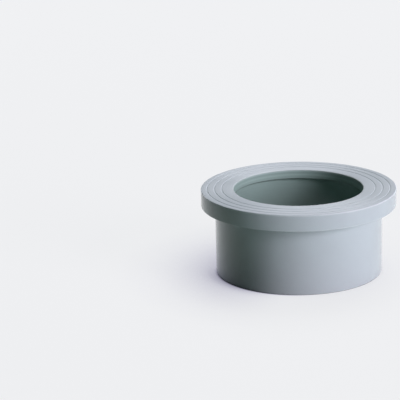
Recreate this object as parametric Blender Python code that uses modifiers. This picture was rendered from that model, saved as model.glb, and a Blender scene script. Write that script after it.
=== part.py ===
"""Lap joint stub end for solvent cement pipe, moulded in one piece.

A plain socket takes the pipe from below. The collar at the top carries the
jointing face, cut with concentric grooves that bite into a gasket, and its
underside is the seat of a loose backing ring that slides over the hub.
Metres, +Z up, standing on the mouth of the socket.
"""

import math

import bmesh
import bpy
from mathutils import Vector

# Pipe and socket
PIPE_DIAMETER = 0.075
MOUTH_CLEARANCE = 0.0004         # on the diameter, where the pipe enters
ROOT_INTERFERENCE = 0.0001       # on the diameter, where the pipe ends
SOCKET_DEPTH = 0.0410
LEAD_IN_DEPTH = 0.0015
LEAD_IN_WIDTH = 0.0005
HUB_WALL = 0.0077                # at the mouth

# Stop that the pipe's end meets, bored through the collar
STOP_LENGTH = 0.0052
STOP_WIDTH = 0.0023              # how far it stands in from the socket's root

# Collar
COLLAR_THICKNESS = 0.0090
SEAT_WIDTH = 0.0076              # how far it stands out from the hub

# Grooves in the jointing face
GROOVE_COUNT = 3
GROOVE_WIDTH = 0.00095           # at the face
GROOVE_FLOOR = 0.00040           # width of the flat floor
GROOVE_DEPTH = 0.0005
INNER_LAND = 0.00543             # bore wall to the nearest groove
OUTER_LAND = 0.00398             # rim to the nearest groove

# Rounded edges
FACE_EDGE_RADIUS = 0.0007        # jointing face to rim
RIM_EDGE_RADIUS = 0.0004         # rim to backing ring seat
COLLAR_FILLET = 0.0020           # backing ring seat to hub
HUB_END_RADIUS = 0.0012
ROOT_FILLET = 0.0004             # socket wall to stop
STOP_EDGE_RADIUS = 0.0003
BORE_EDGE_RADIUS = 0.0006        # bore wall to jointing face

# Smoothness
TURN_STEPS = 96
ARC_SEGMENTS = 4
SMOOTH_ANGLE = math.radians(30)
MERGE_DISTANCE = 0.00001

# Sizes that follow
HEIGHT = SOCKET_DEPTH + STOP_LENGTH
MOUTH_RADIUS = (PIPE_DIAMETER + MOUTH_CLEARANCE) / 2
ROOT_RADIUS = (PIPE_DIAMETER - ROOT_INTERFERENCE) / 2
BORE_RADIUS = ROOT_RADIUS - STOP_WIDTH
HUB_RADIUS = MOUTH_RADIUS + HUB_WALL
COLLAR_RADIUS = HUB_RADIUS + SEAT_WIDTH
SEAT_HEIGHT = HEIGHT - COLLAR_THICKNESS

GREY_PLASTIC = (0.235, 0.290, 0.280, 1.0)


def clear_scene():
    for old in list(bpy.data.objects):
        bpy.data.objects.remove(old, do_unlink=True)


def corner(radius, height, rounding=0.0):
    """One corner of the section: distance from the axis, height, edge radius."""
    return Vector((radius, height)), rounding


def groove_corners():
    """Corners of the evenly spaced grooves, from the bore outwards."""
    innermost = BORE_RADIUS + INNER_LAND + GROOVE_WIDTH / 2
    outermost = COLLAR_RADIUS - OUTER_LAND - GROOVE_WIDTH / 2
    pitch = (outermost - innermost) / (GROOVE_COUNT - 1)
    floor = HEIGHT - GROOVE_DEPTH
    corners = []
    for index in range(GROOVE_COUNT):
        middle = innermost + index * pitch
        corners += [
            corner(middle - GROOVE_WIDTH / 2, HEIGHT),
            corner(middle - GROOVE_FLOOR / 2, floor),
            corner(middle + GROOVE_FLOOR / 2, floor),
            corner(middle + GROOVE_WIDTH / 2, HEIGHT),
        ]
    return corners


def section_corners():
    """The wall's section, down the outside, up the inside and out over the face."""
    outside = [
        corner(COLLAR_RADIUS, HEIGHT, FACE_EDGE_RADIUS),
        corner(COLLAR_RADIUS, SEAT_HEIGHT, RIM_EDGE_RADIUS),
        corner(HUB_RADIUS, SEAT_HEIGHT, COLLAR_FILLET),
        corner(HUB_RADIUS, 0, HUB_END_RADIUS),
    ]
    inside = [
        corner(MOUTH_RADIUS + LEAD_IN_WIDTH, 0),
        corner(MOUTH_RADIUS, LEAD_IN_DEPTH),
        corner(ROOT_RADIUS, SOCKET_DEPTH, ROOT_FILLET),
        corner(BORE_RADIUS, SOCKET_DEPTH, STOP_EDGE_RADIUS),
        corner(BORE_RADIUS, HEIGHT, BORE_EDGE_RADIUS),
    ]
    return outside + inside + groove_corners()


def arc(before, point, after, rounding):
    """Points of the arc that rounds a corner, tangent to both of its sides."""
    towards_before = (before - point).normalized()
    towards_after = (after - point).normalized()
    half_angle = towards_before.angle(towards_after) / 2
    side = min((before - point).length, (after - point).length)
    rounding = min(rounding, side / 2 * math.tan(half_angle))
    tangent_length = rounding / math.tan(half_angle)
    bisector = (towards_before + towards_after).normalized()
    centre = point + bisector * (rounding / math.sin(half_angle))
    start = point + towards_before * tangent_length - centre
    end = point + towards_after * tangent_length - centre
    turn = start.angle_signed(end)
    points = []
    for step in range(ARC_SEGMENTS + 1):
        angle = turn * step / ARC_SEGMENTS
        spoke = Vector((
            start.x * math.cos(angle) + start.y * math.sin(angle),
            start.y * math.cos(angle) - start.x * math.sin(angle),
        ))
        points.append(centre + spoke)
    return points


def rounded_outline(corners):
    """The closed outline of the section, with its rounded corners as arcs."""
    outline = []
    count = len(corners)
    for index, (point, rounding) in enumerate(corners):
        if rounding > 0:
            before = corners[index - 1][0]
            after = corners[(index + 1) % count][0]
            outline += arc(before, point, after, rounding)
        else:
            outline.append(point)
    return outline


def profile_mesh(name, outline):
    """A closed ring of edges in the XZ plane."""
    profile = bmesh.new()
    verts = [profile.verts.new((point.x, 0, point.y)) for point in outline]
    for index, vert in enumerate(verts):
        profile.edges.new((verts[index - 1], vert))
    mesh = bpy.data.meshes.new(name)
    profile.to_mesh(mesh)
    profile.free()
    return mesh


def turned_object(name, outline, collection):
    """The outline turned once round the Z axis into a closed solid."""
    turned = bpy.data.objects.new(name, profile_mesh(name + "_profile", outline))
    collection.objects.link(turned)
    screw = turned.modifiers.new("turn", "SCREW")
    screw.axis = "Z"
    screw.angle = math.tau
    screw.steps = TURN_STEPS
    screw.render_steps = TURN_STEPS
    screw.use_merge_vertices = True
    screw.merge_threshold = MERGE_DISTANCE
    screw.use_smooth_shade = True

    evaluated = turned.evaluated_get(bpy.context.evaluated_depsgraph_get())
    solid = bpy.data.meshes.new_from_object(evaluated)
    solid.name = name
    turned.modifiers.clear()
    profile = turned.data
    turned.data = solid
    bpy.data.meshes.remove(profile)
    solid.shade_smooth()
    solid.set_sharp_from_angle(angle=SMOOTH_ANGLE)
    return turned


def grey_plastic():
    """Grey rigid plastic with a moulded gloss."""
    material = bpy.data.materials.new("grey_plastic")
    material.use_nodes = True
    shader = material.node_tree.nodes["Principled BSDF"]
    shader.inputs["Base Color"].default_value = GREY_PLASTIC
    shader.inputs["Metallic"].default_value = 0.0
    shader.inputs["Roughness"].default_value = 0.3
    return material


def main():
    clear_scene()
    collection = bpy.data.collections.new("lap_joint_stub_end")
    bpy.context.scene.collection.children.link(collection)
    outline = rounded_outline(section_corners())
    stub_end = turned_object("stub_end", outline, collection)
    stub_end.data.materials.append(grey_plastic())


main()
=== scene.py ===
"""Studio scene of a lap joint stub end, laid out as a Blender add-on and run as a script.

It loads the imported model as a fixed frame, models the stub end's fine surface in the frame's
place, gives it its moulded, turned and bored finishes, and stands it on a pale floor.
"""

import math

import bmesh
import bpy
from bpy.props import FloatProperty, FloatVectorProperty, IntProperty, PointerProperty
from mathutils import Euler, Matrix, Vector


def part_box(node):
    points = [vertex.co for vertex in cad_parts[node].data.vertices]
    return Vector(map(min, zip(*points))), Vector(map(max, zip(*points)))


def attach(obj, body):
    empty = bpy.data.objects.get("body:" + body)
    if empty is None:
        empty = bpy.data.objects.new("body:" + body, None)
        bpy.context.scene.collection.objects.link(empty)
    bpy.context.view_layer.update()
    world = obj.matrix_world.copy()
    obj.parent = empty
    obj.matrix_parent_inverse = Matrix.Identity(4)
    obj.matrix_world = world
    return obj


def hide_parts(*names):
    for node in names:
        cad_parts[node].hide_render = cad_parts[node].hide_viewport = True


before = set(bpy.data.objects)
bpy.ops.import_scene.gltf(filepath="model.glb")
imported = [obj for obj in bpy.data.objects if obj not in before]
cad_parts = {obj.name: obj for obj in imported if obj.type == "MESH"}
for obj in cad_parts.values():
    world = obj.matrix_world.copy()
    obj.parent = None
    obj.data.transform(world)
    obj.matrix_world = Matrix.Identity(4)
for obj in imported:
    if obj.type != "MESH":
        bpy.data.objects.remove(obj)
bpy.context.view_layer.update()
NODE_LOW, NODE_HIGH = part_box("stub_end")

bl_info = {
    "name": "Lap Joint Stub End",
    "version": (1, 0, 0),
    "blender": (4, 5, 0),
    "location": "3D View > Sidebar > Stub End",
    "description": "Models a grooved stub end for cemented pipe and its studio",
    "category": "Object",
}

SMOOTH_ANGLE = math.radians(30)
MERGE_DISTANCE = 0.000002

MOULDED, TURNED, BORED, SOCKET = range(4)

# How far wear reaches from the corners it gathers on, and how far the painted shade reaches from the
# stop's inner edge
FACE_WEAR_REACH = 0.0012
BORE_WEAR_REACH = 0.0010
RIM_WEAR_REACH = 0.0009
STOP_SHADE_REACH = 0.0007

# Level directions as (X, Y): towards the key, and away from the deepest shade
KEY_SIDE = (1.0, -0.6)
SHADE_SIDE = (0.6, 0.8)


def length(name, description, default):
    """A size in metres."""
    return FloatProperty(
        name=name, description=description, default=default, min=0.0,
        subtype="DISTANCE", unit="LENGTH", precision=5,
    )


def share(name, description, default):
    """A number from 0 to 1."""
    return FloatProperty(
        name=name, description=description, default=default, min=0.0, max=1.0, subtype="FACTOR",
    )


def colour(name, description, default):
    """A linear colour."""
    return FloatVectorProperty(
        name=name, description=description, default=default, size=3,
        subtype="COLOR", min=0.0, max=2.0,
    )


def angle(name, description, degrees):
    """An angle, written in degrees and kept in radians."""
    return FloatProperty(
        name=name, description=description, default=math.radians(degrees),
        subtype="ANGLE", unit="ROTATION",
    )


def power(name, description, default):
    """A lamp's power in watts."""
    return FloatProperty(
        name=name, description=description, default=default, min=0.0, unit="POWER",
    )


class StubEndSizes(bpy.types.PropertyGroup):
    """The stub end's own sizes."""

    height: length("Height", "Socket's mouth to jointing face", NODE_HIGH.z)
    collar_radius: length("Collar radius", "Axis to the collar's rim", NODE_HIGH.x)
    collar_thickness: length("Collar thickness", "Jointing face to ring seat", 0.0090)
    hub_radius: length("Hub radius", "Axis to the hub's outer wall", 0.0454)
    mouth_radius: length("Mouth radius", "Socket's radius where the pipe enters", 0.0377)
    root_radius: length("Root radius", "Socket's radius where the pipe ends", 0.03745)
    bore_radius: length("Bore radius", "Radius of the way through the stop", 0.03515)
    stop_length: length("Stop length", "Jointing face to the edge the pipe meets", 0.0052)
    lead_in_depth: length("Lead-in depth", "Height of the chamfer at the mouth", 0.0015)
    lead_in_width: length("Lead-in width", "Width of the chamfer at the mouth", 0.0005)
    groove_inner: length("Inner groove", "Radius of the groove nearest the bore", 0.04167)
    groove_outer: length("Outer groove", "Radius of the groove nearest the rim", 0.04965)
    groove_width: length("Groove width", "Width of a groove at the face", 0.00095)
    groove_floor: length("Groove floor", "Width of a groove's flat floor", 0.00040)
    groove_depth: length("Groove depth", "Depth of a groove below the face", 0.00022)
    groove_edge: length("Groove edge", "Break on a groove's edges", 0.00006)
    face_edge: length("Face edge", "Rounding from jointing face to rim", 0.0004)
    rim_edge: length("Rim edge", "Rounding from rim to ring seat", 0.0004)
    collar_fillet: length("Collar fillet", "Rounding from ring seat to hub", 0.0020)
    hub_end: length("Hub end", "Rounding of the hub's end", 0.0006)
    root_fillet: length("Root fillet", "Rounding from socket wall to stop", 0.0004)
    stop_edge: length("Stop edge", "Rounding of the stop's inner edge", 0.0005)
    bore_edge: length("Bore edge", "Rounding from bore to jointing face", 0.0006)
    groove_count: IntProperty(
        name="Grooves", description="Grooves in the jointing face", default=3, min=2,
    )
    turn_steps: IntProperty(
        name="Turn steps", description="Facets round the axis", default=288, min=24,
    )
    arc_steps: IntProperty(
        name="Arc steps", description="Facets on each rounded edge", default=6, min=1,
    )


class StubEndFinish(bpy.types.PropertyGroup):
    """Colours and textures of the plastic."""

    skin: colour("Moulded skin", "Colour of the moulded skin", (0.292, 0.333, 0.350))
    # Painted shade: the inside colour is darker and greener than the skin and the cut face, standing
    # in for the shade inside the socket and the bore.
    inside: colour("Inside", "Colour of the socket's and the bore's walls", (0.226, 0.306, 0.286))
    cut: colour("Cut plastic", "Colour where a tool has cut the skin", (0.352, 0.396, 0.418))
    worn: colour("Worn edge", "Colour of rubbed edges and scuffs", (0.420, 0.455, 0.470))
    # Painted shade: a dark colour laid at the stop's inner edge, where shade falls below the stop.
    stop_shade: colour("Stop shade", "Colour of the shade painted at the stop's inner edge", (0.050, 0.070, 0.062))
    skin_roughness: share("Skin roughness", "Roughness of the moulded skin", 0.14)
    face_roughness: share("Face roughness", "Roughness of the jointing face", 0.46)
    bore_roughness: share("Bore roughness", "Roughness of the bore's wall", 0.36)
    turning: share("Turning", "How far the turned face stretches its gloss", 0.90)
    turning_pitch: length("Turning pitch", "Feed between the tool's marks", 0.00030)
    turning_depth: length("Turning depth", "Depth of the tool's marks", 0.000012)
    skin_wave: length("Skin wave", "Height of the skin's slow waves", 0.000030)
    skin_grain: length("Skin grain", "Height of the skin's fine grain", 0.0000025)


class StubEndStudio(bpy.types.PropertyGroup):
    """Floor, lights and camera."""

    floor: colour("Floor", "The lit floor as it is seen", (0.42, 0.41, 0.40))
    floor_glow: colour("Floor glow", "Even light in the seen floor", (0.930, 0.940, 0.958))
    # Painted shade on the floor: the tint its even light takes where the painted shade falls.
    shade_tint: colour("Shade tint", "Even light where the floor is shaded", (0.86, 0.84, 1.20))
    glow_share: share("Glow share", "How much of the seen floor is even light", 0.86)
    # Painted light and shade: the floor's colours for bounced light on the key's side and on the far
    # side.
    floor_bounce: colour("Floor bounce", "The lit side as it lights the part", (0.48, 0.76, 0.64))
    floor_shade: colour("Floor shade", "The far side as it lights the part", (0.015, 0.07, 0.045))
    # Reaches of the shadow painted on the floor's even light: contact line, near, wide and under the
    # part.
    contact_reach: length("Contact", "Reach of the dark line where the part meets the floor", 0.0018)
    near_shade: length("Near shade", "Reach of the shade close round the part", 0.010)
    wide_shade: length("Wide shade", "Reach of the wide shade round the part", 0.060)
    inner_shade: length("Inner shade", "Reach of the shade under and in the part", 0.120)
    backdrop: colour("Backdrop", "The pale surroundings", (0.80, 0.81, 0.84))
    ambient: colour("Ambient", "Dim light from all round", (0.013, 0.030, 0.024))
    floor_radius: length("Floor radius", "Radius of the round floor", 4.0)
    key_power: power("Key", "Power of the large low panel on the right", 78.0)
    back_power: power("Back", "Power of the large panel high up behind", 52.0)
    card_power: power("Card", "Power of the low reflector card", 5.6)
    edge_power: power("Edge card", "Power of the low card behind on the left", 7.0)
    lens: FloatProperty(
        name="Lens", description="Focal length in millimetres", default=162.0, min=1.0,
    )
    distance: length("Camera distance", "Camera to the jointing face's centre", 0.979)
    elevation: angle("Camera elevation", "Camera above the jointing face", 16.025)
    pan: angle("Camera pan", "Turned to the left of the face's centre", 3.129)
    tilt: angle("Camera tilt", "Turned below the face's centre", 0.383)
    roll: angle("Camera roll", "Turned clockwise about the line of sight", 0.495)


def groove_corners(sizes):
    """Corners of the evenly spaced grooves, from the bore outwards."""
    pitch = (sizes.groove_outer - sizes.groove_inner) / (sizes.groove_count - 1)
    floor = sizes.height - sizes.groove_depth
    corners = []
    for index in range(sizes.groove_count):
        middle = sizes.groove_inner + index * pitch
        corners += [
            (middle - sizes.groove_width / 2, sizes.height, sizes.groove_edge),
            (middle - sizes.groove_floor / 2, floor, sizes.groove_edge),
            (middle + sizes.groove_floor / 2, floor, sizes.groove_edge),
            (middle + sizes.groove_width / 2, sizes.height, sizes.groove_edge),
        ]
    return corners


def section_corners(sizes):
    """The wall's section as (radius, height, rounding), down the outside and up the inside."""
    seat = sizes.height - sizes.collar_thickness
    stop = sizes.height - sizes.stop_length
    return [
        (sizes.collar_radius, sizes.height, sizes.face_edge),
        (sizes.collar_radius, seat, sizes.rim_edge),
        (sizes.hub_radius, seat, sizes.collar_fillet),
        (sizes.hub_radius, 0.0, sizes.hub_end),
        (sizes.mouth_radius + sizes.lead_in_width, 0.0, 0.0),
        (sizes.mouth_radius, sizes.lead_in_depth, 0.0),
        (sizes.root_radius, stop, sizes.root_fillet),
        (sizes.bore_radius, stop, sizes.stop_edge),
        (sizes.bore_radius, sizes.height, sizes.bore_edge),
    ] + groove_corners(sizes)


def rounded_section(section, corners, arc_steps):
    """Draws the section as one flat face, rounds its corners and keeps its outline."""
    verts = [section.verts.new((radius, 0.0, height)) for radius, height, rounding in corners]
    section.faces.new(verts)
    for vert, (_, _, rounding) in zip(verts, corners):
        if rounding > 0.0:
            bmesh.ops.bevel(
                section, geom=[vert], offset=rounding, offset_type="OFFSET",
                segments=arc_steps, profile=0.5, affect="VERTICES", material=-1,
            )
    bmesh.ops.delete(section, geom=section.faces[:], context="FACES_ONLY")


def turned_solid(section, turn_steps):
    """Turns the outline once round the Z axis."""
    bmesh.ops.spin(
        section, geom=section.verts[:] + section.edges[:], cent=(0.0, 0.0, 0.0),
        axis=(0.0, 0.0, 1.0), dvec=(0.0, 0.0, 0.0), angle=math.tau,
        space=Matrix.Identity(4), steps=turn_steps, use_merge=True,
        use_normal_flip=False, use_duplicate=False,
    )
    bmesh.ops.remove_doubles(section, verts=section.verts[:], dist=MERGE_DISTANCE)
    bmesh.ops.recalc_face_normals(section, faces=section.faces[:])


def finish_zones(solid, sizes):
    """Marks each face with its finish: skin, turned face, bored wall or socket wall."""
    face_start = sizes.height - sizes.face_edge
    stop = sizes.height - sizes.stop_length
    for face in solid.faces:
        middle = face.calc_center_median()
        radius = math.hypot(middle.x, middle.y)
        if middle.z > face_start and radius > sizes.bore_radius + sizes.bore_edge * 0.5:
            face.material_index = TURNED
        elif middle.z > stop and radius < sizes.bore_radius + sizes.bore_edge:
            face.material_index = BORED
        elif radius < sizes.mouth_radius + sizes.lead_in_width:
            face.material_index = SOCKET
        else:
            face.material_index = MOULDED


def plug(tree, value, socket):
    """Links an output to an input, or writes a plain value there."""
    if isinstance(value, bpy.types.NodeSocket):
        tree.links.new(value, socket)
    else:
        socket.default_value = value


def add_node(tree, kind, **settings):
    """A node with its settings."""
    node = tree.nodes.new(kind)
    for name, value in settings.items():
        setattr(node, name, value)
    return node


def maths(tree, operation, first, second=0.0):
    """One Math node; returns its result."""
    node = add_node(tree, "ShaderNodeMath", operation=operation)
    plug(tree, first, node.inputs[0])
    plug(tree, second, node.inputs[1])
    return node.outputs["Value"]


def ramp(tree, value, low, high):
    """A smooth rise from 0 at the low value to 1 at the high one, or a fall the other way."""
    node = add_node(tree, "ShaderNodeMapRange", interpolation_type="SMOOTHSTEP")
    start, end = (0.0, 1.0) if low < high else (1.0, 0.0)
    plug(tree, value, node.inputs["Value"])
    plug(tree, min(low, high), node.inputs["From Min"])
    plug(tree, max(low, high), node.inputs["From Max"])
    plug(tree, start, node.inputs["To Min"])
    plug(tree, end, node.inputs["To Max"])
    return node.outputs["Result"]


def cloud(tree, place, scale, detail=2.0, roughness=0.5):
    """Noise in space, with so many cells to the metre; 0 to 1 about a half."""
    node = add_node(tree, "ShaderNodeTexNoise", noise_dimensions="3D")
    plug(tree, place, node.inputs["Vector"])
    plug(tree, scale, node.inputs["Scale"])
    plug(tree, detail, node.inputs["Detail"])
    plug(tree, roughness, node.inputs["Roughness"])
    return node.outputs["Fac"]


def streaks(tree, along, scale, detail=2.0):
    """Noise along one number, which draws lines wherever that number stays the same."""
    node = add_node(tree, "ShaderNodeTexNoise", noise_dimensions="1D")
    plug(tree, along, node.inputs["W"])
    plug(tree, scale, node.inputs["Scale"])
    plug(tree, detail, node.inputs["Detail"])
    plug(tree, 0.6, node.inputs["Roughness"])
    return node.outputs["Fac"]


def stretched(tree, place, scale):
    """The place, stretched or squeezed along each axis."""
    node = add_node(tree, "ShaderNodeVectorMath", operation="MULTIPLY")
    plug(tree, place, node.inputs[0])
    plug(tree, scale, node.inputs[1])
    return node.outputs["Vector"]


def mixed_colour(tree, factor, first, second):
    """A colour that goes from the first to the second with the factor."""
    mix = add_node(tree, "ShaderNodeMix", data_type="RGBA")
    for name, value in (("Factor", factor), ("A", first), ("B", second)):
        socket = next(item for item in mix.inputs if item.name == name and item.enabled)
        plug(tree, value, socket)
    return next(item for item in mix.outputs if item.enabled)


def shaded(tree, tone, amount, brightness):
    """The tone made lighter or darker by a number about a half."""
    node = add_node(tree, "ShaderNodeVectorMath", operation="SCALE")
    plug(tree, tone, node.inputs[0])
    plug(tree, varied(tree, brightness, amount, 1.0), node.inputs["Scale"])
    return node.outputs["Vector"]


def bumped(tree, height, depth, beneath=None):
    """A bump of a height from 0 to 1 times the depth, over an earlier one."""
    node = add_node(tree, "ShaderNodeBump")
    plug(tree, 1.0, node.inputs["Strength"])
    plug(tree, depth, node.inputs["Distance"])
    plug(tree, height, node.inputs["Height"])
    if beneath is not None:
        plug(tree, beneath, node.inputs["Normal"])
    return node.outputs["Normal"]


def split_place(tree):
    """Object coordinates, whole and as X, Y and Z."""
    place = add_node(tree, "ShaderNodeTexCoord").outputs["Object"]
    split = add_node(tree, "ShaderNodeSeparateXYZ")
    plug(tree, place, split.inputs[0])
    return place, split.outputs["X"], split.outputs["Y"], split.outputs["Z"]


def off_axis(tree, place):
    """The level part of a place: the way straight out from the axis."""
    return stretched(tree, place, (1.0, 1.0, 0.0))


def round_place(tree):
    """Object coordinates, distance from the axis and height along it."""
    place, _, _, height = split_place(tree)
    size = add_node(tree, "ShaderNodeVectorMath", operation="LENGTH")
    plug(tree, off_axis(tree, place), size.inputs[0])
    return place, size.outputs["Value"], height


def level_reach(tree, across, depth, side):
    """How far a place lies in a level direction."""
    return maths(
        tree, "ADD", maths(tree, "MULTIPLY", across, side[0]), maths(tree, "MULTIPLY", depth, side[1]),
    )


def varied(tree, pattern, swing, base):
    """A number that swings about its base with a pattern about a half."""
    change = maths(tree, "MULTIPLY", maths(tree, "SUBTRACT", pattern, 0.5), swing)
    return maths(tree, "ADD", change, base)


def near_corner(tree, radius, height, corner, reach):
    """1 on an edge that runs round the part, falling to 0 at its reach from the corner."""
    across = maths(tree, "SUBTRACT", radius, corner[0])
    along = maths(tree, "SUBTRACT", height, corner[1])
    squares = maths(
        tree, "ADD", maths(tree, "MULTIPLY", across, across), maths(tree, "MULTIPLY", along, along),
    )
    return ramp(tree, maths(tree, "SQRT", squares), reach, reach * 0.3)


def rubbed(tree, place, edges):
    """The edges, rubbed unevenly along their length."""
    rubbing = maths(tree, "ADD", maths(tree, "MULTIPLY", cloud(tree, place, 240.0, 3.0), 0.9), 0.1)
    return maths(tree, "MULTIPLY", edges, rubbing)


def worn_tone(tree, tone, wear, amount, finish):
    """The tone, paler where it is worn."""
    return mixed_colour(tree, maths(tree, "MULTIPLY", wear, amount), tone, (*finish.worn, 1.0))


def painted_stop_shade(tree, tone, radius, height, finish, sizes):
    """The tone, darkened by painted shade at the stop's inner edge."""
    stop = (sizes.bore_radius, sizes.height - sizes.stop_length)
    # Painted shade: darkens the walls at the stop's inner edge.
    stop_shade = near_corner(tree, radius, height, stop, STOP_SHADE_REACH)
    return mixed_colour(tree, maths(tree, "MULTIPLY", stop_shade, 0.7), tone, (*finish.stop_shade, 1.0))


def plastic_material(name):
    """A rigid plastic; returns the material, its node tree and its shader."""
    material = bpy.data.materials.new(name)
    material.use_nodes = True
    shader = material.node_tree.nodes["Principled BSDF"]
    shader.inputs["IOR"].default_value = 1.53
    shader.inputs["Specular IOR Level"].default_value = 0.42
    return material, material.node_tree, shader


def moulded_skin(finish, sizes):
    """Glossy moulded skin: slow waves, fine grain, faint scuffs and rubbed edges."""
    material, tree, shader = plastic_material("moulded_skin")
    place, radius, height = round_place(tree)
    patches = cloud(tree, place, 55.0, 3.0, 0.55)
    speckle = cloud(tree, place, 2600.0, 1.0)
    tone = shaded(tree, (*finish.skin,), 0.10, patches)
    tone = shaded(tree, tone, 0.05, speckle)

    scuff_lines = cloud(tree, stretched(tree, place, (260.0, 260.0, 2600.0)), 1.0, 3.0, 0.6)
    scuff_patches = ramp(tree, cloud(tree, place, 38.0, 2.0), 0.52, 0.70)
    scuffs = maths(tree, "MULTIPLY", ramp(tree, scuff_lines, 0.60, 0.74), scuff_patches)

    seat = sizes.height - sizes.collar_thickness
    face_corner = (sizes.collar_radius, sizes.height)
    edges = near_corner(tree, radius, height, face_corner, FACE_WEAR_REACH)
    for corner in ((sizes.collar_radius, seat), (sizes.hub_radius, 0.0)):
        edge = near_corner(tree, radius, height, corner, RIM_WEAR_REACH)
        edges = maths(tree, "MAXIMUM", edges, edge)
    wear = maths(tree, "MAXIMUM", rubbed(tree, place, edges), maths(tree, "MULTIPLY", scuffs, 0.10))
    plug(tree, worn_tone(tree, tone, wear, 0.55, finish), shader.inputs["Base Color"])

    gloss = varied(tree, patches, 0.10, finish.skin_roughness)
    gloss = maths(tree, "ADD", gloss, maths(tree, "MULTIPLY", wear, 0.16))
    plug(tree, gloss, shader.inputs["Roughness"])

    waves = bumped(tree, cloud(tree, place, 70.0, 1.0), finish.skin_wave)
    grain = bumped(tree, cloud(tree, place, 1500.0, 2.0), finish.skin_grain, waves)
    plug(tree, grain, shader.inputs["Normal"])
    return material


def turned_face(finish, sizes):
    """Satin turned face: rings left by the tool, gloss stretched across them."""
    material, tree, shader = plastic_material("turned_face")
    place, radius, height = round_place(tree)
    rings = streaks(tree, radius, 1.0 / finish.turning_pitch)
    bands = streaks(tree, radius, 0.28 / finish.turning_pitch, 1.0)
    patches = cloud(tree, place, 60.0, 2.0)
    tone = shaded(tree, (*finish.cut,), 0.20, rings)
    tone = shaded(tree, tone, 0.14, bands)
    tone = shaded(tree, tone, 0.06, patches)
    # Painted light: the groove floors are made up to 8% lighter, lifting the shade in the grooves.
    depth = maths(tree, "SUBTRACT", sizes.height, height)
    sunk = ramp(tree, depth, sizes.groove_depth * 0.1, sizes.groove_depth)
    tone = shaded(tree, tone, 0.16, maths(tree, "ADD", maths(tree, "MULTIPLY", sunk, 0.5), 0.5))
    bore_corner = (sizes.bore_radius, sizes.height)
    inner = near_corner(tree, radius, height, bore_corner, BORE_WEAR_REACH)
    rim_corner = (sizes.collar_radius, sizes.height)
    outer = near_corner(tree, radius, height, rim_corner, FACE_WEAR_REACH)
    wear = rubbed(tree, place, maths(tree, "MAXIMUM", inner, outer))
    plug(tree, worn_tone(tree, tone, wear, 0.55, finish), shader.inputs["Base Color"])

    gloss = varied(tree, bands, 0.14, finish.face_roughness)
    gloss = maths(tree, "ADD", gloss, maths(tree, "MULTIPLY", outer, 0.26))
    plug(tree, gloss, shader.inputs["Roughness"])
    shader.inputs["Anisotropic"].default_value = finish.turning
    radial = add_node(tree, "ShaderNodeVectorMath", operation="NORMALIZE")
    plug(tree, off_axis(tree, place), radial.inputs[0])
    plug(tree, radial.outputs["Vector"], shader.inputs["Tangent"])
    marks = bumped(tree, rings, finish.turning_depth)
    marks = bumped(tree, bands, finish.turning_depth, marks)
    plug(tree, marks, shader.inputs["Normal"])
    return material


def bored_wall(finish, sizes):
    """The bore's wall, cut by a boring tool that left fine rings up its height."""
    material, tree, shader = plastic_material("bored_wall")
    _, radius, height = round_place(tree)
    rings = streaks(tree, height, 0.8 / finish.turning_pitch)
    bands = streaks(tree, height, 0.17 / finish.turning_pitch, 1.0)
    # The inside colour is painted shade: darker and greener than the skin.
    tone = shaded(tree, (*finish.inside,), 0.18, rings)
    tone = shaded(tree, tone, 0.60, bands)
    bore_corner = (sizes.bore_radius, sizes.height)
    edge = near_corner(tree, radius, height, bore_corner, BORE_WEAR_REACH)
    tone = worn_tone(tree, tone, edge, 0.4, finish)
    # Painted shade at the stop's inner edge.
    tone = painted_stop_shade(tree, tone, radius, height, finish, sizes)
    plug(tree, tone, shader.inputs["Base Color"])
    plug(tree, varied(tree, bands, 0.16, finish.bore_roughness), shader.inputs["Roughness"])
    marks = bumped(tree, rings, finish.turning_depth)
    marks = bumped(tree, bands, finish.turning_depth, marks)
    plug(tree, marks, shader.inputs["Normal"])
    return material


def socket_wall(finish, sizes):
    """The socket's wall, moulded on a core whose fine rings show faintly."""
    material, tree, shader = plastic_material("socket_wall")
    place, radius, height = round_place(tree)
    patches = cloud(tree, place, 60.0, 3.0)
    rings = streaks(tree, height, 1400.0)
    # The inside colour is painted shade: darker and greener than the skin.
    tone = shaded(tree, (*finish.inside,), 0.10, patches)
    tone = shaded(tree, tone, 0.08, rings)
    # Painted shade at the stop's inner edge.
    tone = painted_stop_shade(tree, tone, radius, height, finish, sizes)
    plug(tree, tone, shader.inputs["Base Color"])
    plug(tree, varied(tree, patches, 0.14, finish.skin_roughness + 0.06), shader.inputs["Roughness"])
    marks = bumped(tree, rings, finish.turning_depth * 0.4)
    waves = bumped(tree, cloud(tree, place, 90.0, 1.0), finish.skin_wave, marks)
    plug(tree, waves, shader.inputs["Normal"])
    return material


class OBJECT_OT_stub_end(bpy.types.Operator):
    """Model the stub end and give it its finishes"""

    bl_idname = "object.stub_end_model"
    bl_label = "Model Stub End"
    bl_options = {"REGISTER", "UNDO"}

    def execute(self, context):
        sizes = context.scene.stub_end_sizes
        finish = context.scene.stub_end_finish
        solid = bmesh.new()
        rounded_section(solid, section_corners(sizes), sizes.arc_steps)
        turned_solid(solid, sizes.turn_steps)
        finish_zones(solid, sizes)
        mesh = bpy.data.meshes.new("stub_end_fine")
        solid.to_mesh(mesh)
        solid.free()
        mesh.shade_smooth()
        mesh.set_sharp_from_angle(angle=SMOOTH_ANGLE)
        for made in (moulded_skin, turned_face, bored_wall, socket_wall):
            mesh.materials.append(made(finish, sizes))
        piece = bpy.data.objects.new("stub_end_fine", mesh)
        context.scene.collection.objects.link(piece)
        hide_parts("stub_end")
        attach(piece, "root")
        return {"FINISHED"}


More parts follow.
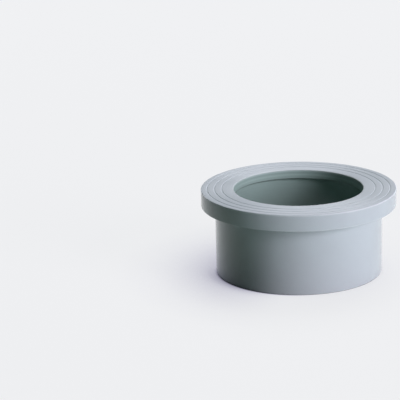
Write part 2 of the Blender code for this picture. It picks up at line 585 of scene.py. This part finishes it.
def seen_or_reflected(tree):
    """1 for a ray that comes straight from the camera or off a gloss or glass, else 0."""
    path = add_node(tree, "ShaderNodeLightPath")
    glossy = maths(tree, "MAXIMUM", path.outputs["Is Camera Ray"], path.outputs["Is Glossy Ray"])
    return maths(tree, "MAXIMUM", glossy, path.outputs["Is Transmission Ray"])


def lit_side(tree):
    """From 0 on the side away from the main light to 1 on the side towards it."""
    _, across, depth, _ = split_place(tree)
    return ramp(tree, level_reach(tree, across, depth, KEY_SIDE), -0.02, 0.09)


def openness(tree, reach, closed, open_share, samples):
    """From 0 where things close in on the floor within the reach to 1 in the open."""
    node = add_node(tree, "ShaderNodeAmbientOcclusion", samples=samples)
    plug(tree, reach, node.inputs["Distance"])
    return ramp(tree, node.outputs["AO"], closed, open_share)


def shaded_light(tree, studio):
    """Painted shade on the floor's even light: the light left under and in the part, and round it,
    least on the front left.
    """
    _, across, depth, _ = split_place(tree)
    front_left = level_reach(tree, across, depth, SHADE_SIDE)
    line_side = maths(
        tree, "MULTIPLY", ramp(tree, front_left, -0.024, -0.042), ramp(tree, across, 0.015, -0.028),
    )
    near_side = maths(
        tree, "MULTIPLY", ramp(tree, front_left, -0.024, -0.046), ramp(tree, across, -0.010, -0.040),
    )
    far_side = ramp(tree, across, -0.005, -0.050)
    under = openness(tree, studio.inner_shade, 0.10, 0.44, 32)
    around = 1.0
    for reach, side, all_round, one_side in (
        (studio.contact_reach, line_side, 0.04, 0.96),
        (studio.near_shade, near_side, 0.02, 0.56),
        (studio.wide_shade, far_side, 0.06, 0.36),
    ):
        strength = maths(tree, "ADD", maths(tree, "MULTIPLY", side, one_side), all_round)
        shade = maths(tree, "SUBTRACT", 1.0, openness(tree, reach, 0.34, 0.98, 8))
        shade = maths(tree, "MULTIPLY", shade, strength)
        around = maths(tree, "MULTIPLY", maths(tree, "SUBTRACT", 1.0, shade), around)
    return under, around


def add_floor(context, studio):
    """A wide round floor, pale where it is seen, with painted shade under and round the part, and its
    bounce colour darker on one side as a reflector.
    """
    disc = bmesh.new()
    bmesh.ops.create_circle(disc, cap_ends=True, segments=96, radius=studio.floor_radius)
    mesh = bpy.data.meshes.new("floor")
    disc.to_mesh(mesh)
    disc.free()
    material = bpy.data.materials.new("pale_floor")
    material.use_nodes = True
    tree = material.node_tree
    shader = tree.nodes["Principled BSDF"]
    shader.inputs["Roughness"].default_value = 0.9
    shader.inputs["Specular IOR Level"].default_value = 0.1
    seen = seen_or_reflected(tree)
    # Painted light and shade: the floor bounces pale light on the key's side and dark, greenish light
    # on the far side.
    bounce = mixed_colour(
        tree, lit_side(tree), (*studio.floor_shade, 1.0), (*studio.floor_bounce, 1.0),
    )
    plug(tree, mixed_colour(tree, seen, bounce, (*studio.floor, 1.0)), shader.inputs["Base Color"])
    glow = add_node(tree, "ShaderNodeEmission")
    # Painted shadow: the floor's glow is dimmed and tinted under, in and round the part.
    under, around = shaded_light(tree, studio)
    cool = mixed_colour(tree, around, (*studio.shade_tint, 1.0), (*studio.floor_glow, 1.0))
    plug(tree, cool, glow.inputs["Color"])
    plug(tree, maths(tree, "MULTIPLY", under, around), glow.inputs["Strength"])
    blend = add_node(tree, "ShaderNodeMixShader")
    plug(tree, maths(tree, "MULTIPLY", seen, studio.glow_share), blend.inputs[0])
    plug(tree, shader.outputs["BSDF"], blend.inputs[1])
    plug(tree, glow.outputs["Emission"], blend.inputs[2])
    plug(tree, blend.outputs["Shader"], tree.nodes["Material Output"].inputs["Surface"])
    mesh.materials.append(material)
    floor = bpy.data.objects.new("floor", mesh)
    context.scene.collection.objects.link(floor)


def add_surroundings(context, studio):
    """The world: pale where it is seen or reflected, dim and cool as a light."""
    world = bpy.data.worlds.new("surroundings")
    world.use_nodes = True
    tree = world.node_tree
    tone = mixed_colour(
        tree, seen_or_reflected(tree), (*studio.ambient, 1.0), (*studio.backdrop, 1.0),
    )
    plug(tree, tone, tree.nodes["Background"].inputs["Color"])
    context.scene.world = world


def add_panel_light(context, name, azimuth, elevation, distance, size, energy, tint, target):
    """A flat light panel aimed at the target; azimuth runs from the camera's side to +X."""
    light = bpy.data.lights.new(name, "AREA")
    light.shape = "RECTANGLE"
    light.size = size[0]
    light.size_y = size[1]
    light.energy = energy
    light.color = tint
    lamp = bpy.data.objects.new(name, light)
    towards = Vector((
        math.sin(azimuth) * math.cos(elevation),
        -math.cos(azimuth) * math.cos(elevation),
        math.sin(elevation),
    ))
    lamp.location = target + towards * distance
    lamp.rotation_euler = towards.to_track_quat("Z", "Y").to_euler()
    lamp.visible_camera = False
    context.scene.collection.objects.link(lamp)
    return lamp


def add_lights(context, studio, target):
    """A large low key without glare, a large panel high up behind and two low cards."""
    key = add_panel_light(
        context, "key_panel", math.radians(56), math.radians(16), 2.4, (1.0, 1.38),
        studio.key_power, (1.01, 0.94, 1.045), target,
    )
    key.visible_glossy = False
    add_panel_light(
        context, "back_panel", math.radians(168), math.radians(52), 2.4, (1.5, 1.5),
        studio.back_power, (1.0, 1.0, 1.06), target,
    )
    low = Vector((target.x, target.y, target.z / 2))
    add_panel_light(
        context, "reflector_card", math.radians(60), 0.0, 1.2, (0.4, target.z * 1.6),
        studio.card_power, (1.16, 0.82, 0.98), low,
    )
    add_panel_light(
        context, "edge_card", math.radians(-140), 0.0, 1.2, (0.4, target.z * 1.6),
        studio.edge_power, (1.00, 0.98, 1.06), low,
    )


def add_camera(context, studio, target):
    """A long lens looking down on the jointing face, panned to leave the part right of centre."""
    lens = bpy.data.cameras.new("camera")
    lens.lens = studio.lens
    lens.clip_start = 0.01
    lens.clip_end = 50.0
    camera = bpy.data.objects.new("camera", lens)
    back = Vector((0.0, -math.cos(studio.elevation), math.sin(studio.elevation)))
    camera.location = target + back * studio.distance
    aim = back.to_track_quat("Z", "Y").to_matrix()
    turn = Euler((-studio.tilt, studio.pan, -studio.roll), "ZXY").to_matrix()
    camera.rotation_euler = (aim @ turn).to_euler()
    context.scene.collection.objects.link(camera)
    context.scene.camera = camera


class OBJECT_OT_stub_end_stage(bpy.types.Operator):
    """Set the floor, the surroundings, the lights and the camera"""

    bl_idname = "object.stub_end_stage"
    bl_label = "Set Stage"
    bl_options = {"REGISTER", "UNDO"}

    def execute(self, context):
        studio = context.scene.stub_end_studio
        target = Vector((0.0, 0.0, context.scene.stub_end_sizes.height))
        context.scene.view_settings.view_transform = "Standard"
        add_floor(context, studio)
        add_surroundings(context, studio)
        add_lights(context, studio, target)
        add_camera(context, studio, target)
        return {"FINISHED"}


class VIEW3D_PT_stub_end(bpy.types.Panel):
    """Sizes, finish and studio of the stub end"""

    bl_idname = "VIEW3D_PT_stub_end"
    bl_label = "Stub End"
    bl_space_type = "VIEW_3D"
    bl_region_type = "UI"
    bl_category = "Stub End"

    def draw(self, context):
        layout = self.layout
        for group in ("stub_end_sizes", "stub_end_finish", "stub_end_studio"):
            settings = getattr(context.scene, group)
            box = layout.box()
            for name in settings.__annotations__:
                box.prop(settings, name)
        layout.operator(OBJECT_OT_stub_end.bl_idname)
        layout.operator(OBJECT_OT_stub_end_stage.bl_idname)


CLASSES = (
    StubEndSizes,
    StubEndFinish,
    StubEndStudio,
    OBJECT_OT_stub_end,
    OBJECT_OT_stub_end_stage,
    VIEW3D_PT_stub_end,
)


def register():
    for cls in CLASSES:
        bpy.utils.register_class(cls)
    bpy.types.Scene.stub_end_sizes = PointerProperty(type=StubEndSizes)
    bpy.types.Scene.stub_end_finish = PointerProperty(type=StubEndFinish)
    bpy.types.Scene.stub_end_studio = PointerProperty(type=StubEndStudio)


def unregister():
    del bpy.types.Scene.stub_end_studio
    del bpy.types.Scene.stub_end_finish
    del bpy.types.Scene.stub_end_sizes
    for cls in reversed(CLASSES):
        bpy.utils.unregister_class(cls)


def main():
    register()
    bpy.ops.object.stub_end_model()
    bpy.ops.object.stub_end_stage()


if __name__ == "__main__":
    main()
